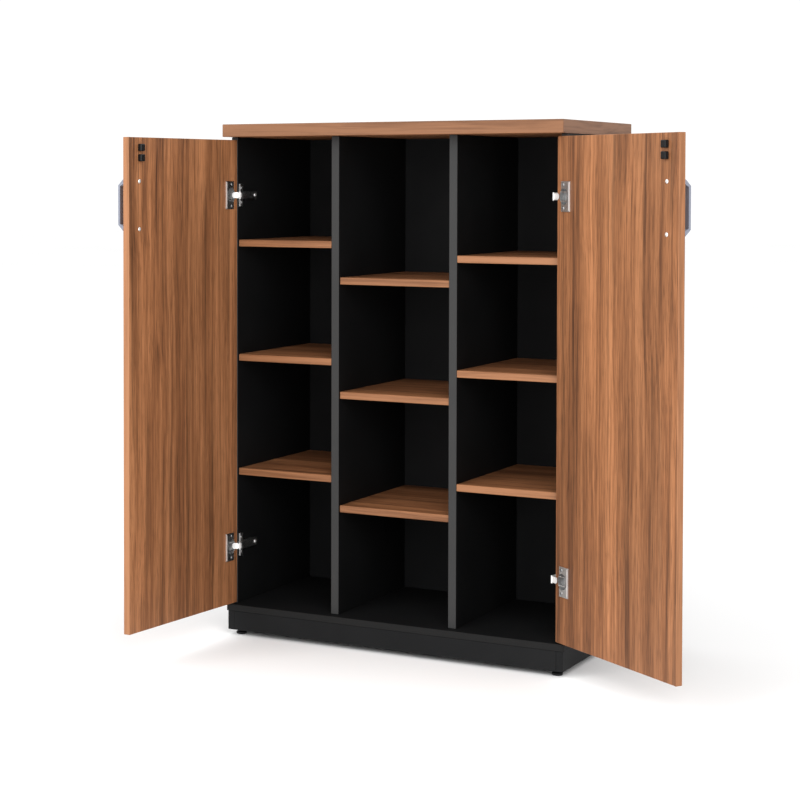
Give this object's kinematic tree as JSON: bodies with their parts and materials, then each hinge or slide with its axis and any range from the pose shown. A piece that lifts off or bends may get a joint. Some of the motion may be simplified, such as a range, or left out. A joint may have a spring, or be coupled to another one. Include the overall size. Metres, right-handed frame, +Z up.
{
  "type": "cube storage cabinet",
  "caption": "Freestanding storage cabinet with hinged front doors over staggered open compartments, a thick overhanging top, a recessed plinth and levelling feet.",
  "frame": {"origin": "middle of the bounding box of the whole cabinet with its doors open, at floor level", "axes": "+X to the right seen from the front, +Y from the front towards the back, +Z up"},
  "size_m": [1.1734, 0.7864, 1.1465],
  "materials": {
    "walnut": "satin melamine with walnut grain",
    "black_board": "fine-textured matt black melamine",
    "nickel": "bright nickel plate",
    "dark_nickel": "dull nickel plate",
    "handle_grey": "satin blue-grey lacquer",
    "black_plastic": "moulded"
  },
  "bodies": {
    "carcass": {"top_board": "walnut", "bottom_panel": "black_board", "back_panel": "black_board", "left_side_panel": "black_board", "right_side_panel": "black_board", "left_divider": "black_board", "right_divider": "black_board", "plinth_front": "black_board", "plinth_back": "black_board", "plinth_left": "black_board", "plinth_right": "black_board", "shelf_left_1": "walnut", "shelf_left_2": "walnut", "shelf_left_3": "walnut", "shelf_middle_1": "walnut", "shelf_middle_2": "walnut", "shelf_middle_3": "walnut", "shelf_right_1": "walnut", "shelf_right_2": "walnut", "shelf_right_3": "walnut", "foot_socket_front_left": "black_plastic", "foot_socket_front_right": "black_plastic", "foot_socket_back_left": "black_plastic", "foot_socket_back_right": "black_plastic", "left_upper_hinge_plate": "nickel", "left_upper_hinge_arm": "nickel", "left_upper_adjusting_screw": "nickel", "left_lower_hinge_plate": "nickel", "left_lower_hinge_arm": "nickel", "left_lower_adjusting_screw": "nickel", "right_upper_hinge_plate": "nickel", "right_upper_hinge_arm": "nickel", "right_upper_adjusting_screw": "nickel", "right_lower_hinge_plate": "nickel", "right_lower_hinge_arm": "nickel", "right_lower_adjusting_screw": "nickel"},
    "left_door": {"left_door": "walnut", "left_handle": "handle_grey", "left_upper_handle_screw": "nickel", "left_lower_handle_screw": "nickel", "left_upper_catch_block": "black_plastic", "left_lower_catch_block": "black_plastic", "left_upper_hinge_cup": "dark_nickel", "left_lower_hinge_cup": "dark_nickel"},
    "left_hinge_links": {"left_upper_hinge_link": "nickel", "left_lower_hinge_link": "nickel"},
    "right_door": {"right_door": "walnut", "right_handle": "handle_grey", "right_upper_handle_screw": "nickel", "right_lower_handle_screw": "nickel", "right_upper_catch_block": "black_plastic", "right_lower_catch_block": "black_plastic", "right_upper_hinge_cup": "dark_nickel", "right_lower_hinge_cup": "dark_nickel"},
    "right_hinge_links": {"right_upper_hinge_link": "nickel", "right_lower_hinge_link": "nickel"},
    "front_left_foot": {"foot_front_left": "black_plastic"},
    "front_right_foot": {"foot_front_right": "black_plastic"},
    "back_left_foot": {"foot_back_left": "black_plastic"},
    "back_right_foot": {"foot_back_right": "black_plastic"}
  },
  "joints": [
    {"name": "left_door_hinge", "type": "hinge", "parent": "carcass", "child": "left_door", "pos_m": [-0.51476, -0.00509, 0.5952], "axis": [0, 0, -1], "range_deg": [-94.65, 55.35]},
    {"name": "right_door_hinge", "type": "hinge", "parent": "carcass", "child": "right_door", "pos_m": [0.26484, -0.00509, 0.5952], "axis": [0, 0, 1], "range_deg": [-145, 5]},
    {"name": "left_link_pivot", "type": "hinge", "parent": "carcass", "child": "left_hinge_links", "pos_m": [-0.49496, -0.00509, 0.5952], "axis": [0, 0, 1], "range_deg": [-25, 15]},
    {"name": "right_link_pivot", "type": "hinge", "parent": "carcass", "child": "right_hinge_links", "pos_m": [0.24504, -0.00509, 0.5952], "axis": [0, 0, -1], "range_deg": [-38, 2]},
    {"name": "front_left_foot_height", "type": "slide", "parent": "carcass", "child": "front_left_foot", "axis": [0, 0, -1], "range_m": [0, 0.01]},
    {"name": "front_right_foot_height", "type": "slide", "parent": "carcass", "child": "front_right_foot", "axis": [0, 0, -1], "range_m": [0, 0.01]},
    {"name": "back_left_foot_height", "type": "slide", "parent": "carcass", "child": "back_left_foot", "axis": [0, 0, -1], "range_m": [0, 0.01]},
    {"name": "back_right_foot_height", "type": "slide", "parent": "carcass", "child": "back_right_foot", "axis": [0, 0, -1], "range_m": [0, 0.01]}
  ],
  "couplings": [
    {"joint": "left_link_pivot", "follows": "left_door_hinge", "ratio": 0.26},
    {"joint": "right_link_pivot", "follows": "right_door_hinge", "ratio": 0.26}
  ]
}
